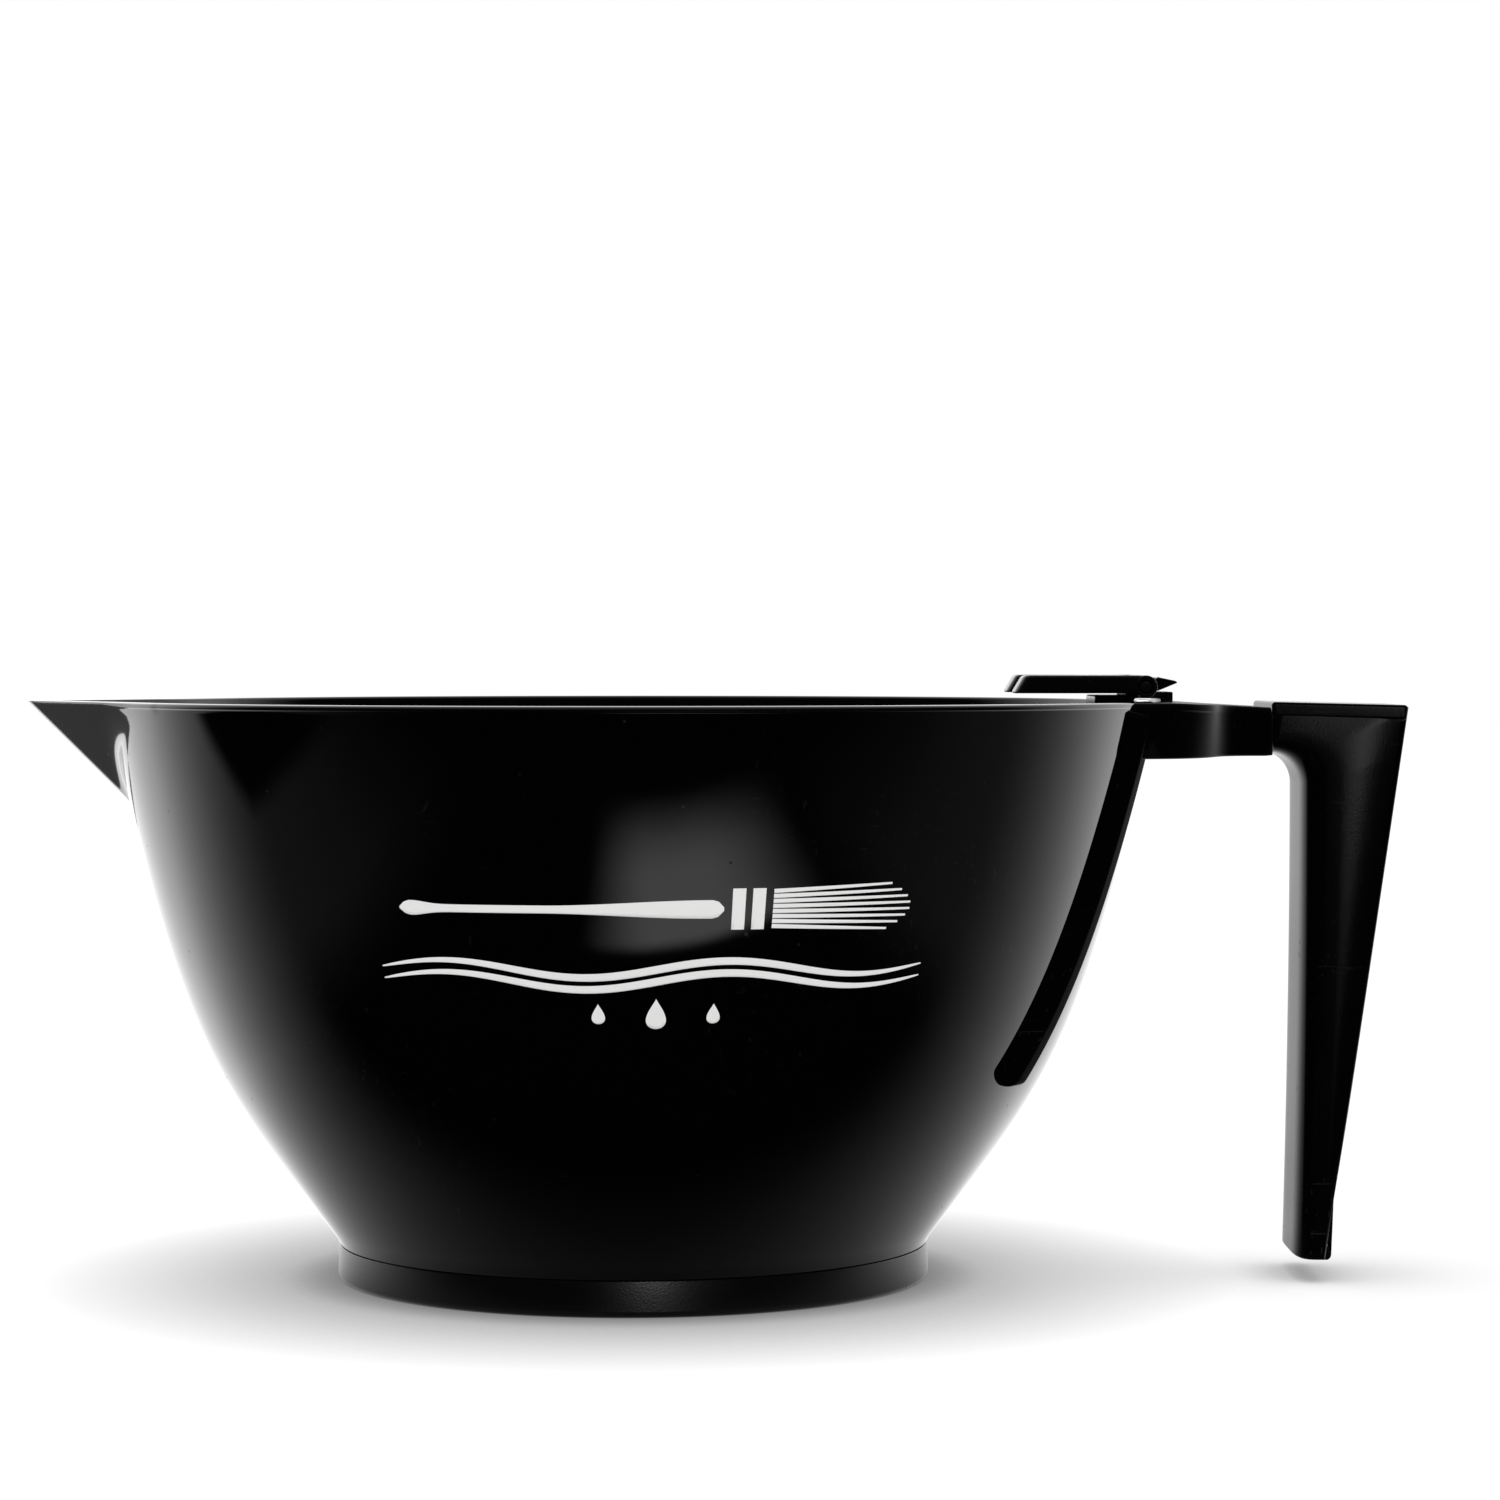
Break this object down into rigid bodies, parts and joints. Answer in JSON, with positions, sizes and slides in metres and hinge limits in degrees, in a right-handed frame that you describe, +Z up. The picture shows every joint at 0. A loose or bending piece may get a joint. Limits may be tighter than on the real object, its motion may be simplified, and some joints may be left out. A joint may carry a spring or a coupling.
{
  "type": "hair color bowl",
  "caption": "Black salon tint bowl with a pouring spout, a rubber foot ring, a downturned handle and a hinged brush rest that clips over the rim.",
  "frame": {"origin": "centre of the bounding box's footprint, on the table the foot ring stands on", "axes": "+X from the spout to the handle, +Y across the bowl, +Z up"},
  "size_m": [0.1706, 0.13, 0.0746],
  "materials": {
    "bowl_gloss": "polished injection-moulded plastic",
    "ring_rubber": "smooth matte rubber",
    "handle_satin": "satin moulded plastic",
    "rest_satin": "satin moulded plastic",
    "pin_metal": "blackened steel wire"
  },
  "bodies": {
    "vessel": {"bowl": "bowl_gloss", "foot_ring": "ring_rubber", "handle_cradle": "handle_satin", "handle_grip": "handle_satin", "rest_bracket": "rest_satin", "hinge_pin": "pin_metal"},
    "rest_flap": {"brush_rest": "rest_satin"}
  },
  "joints": [
    {"name": "rest_hinge", "type": "hinge", "parent": "vessel", "child": "rest_flap", "pos_m": [0.05285, 0, 0.07325], "axis": [0, 1, 0], "range_deg": [0, 100]}
  ]
}
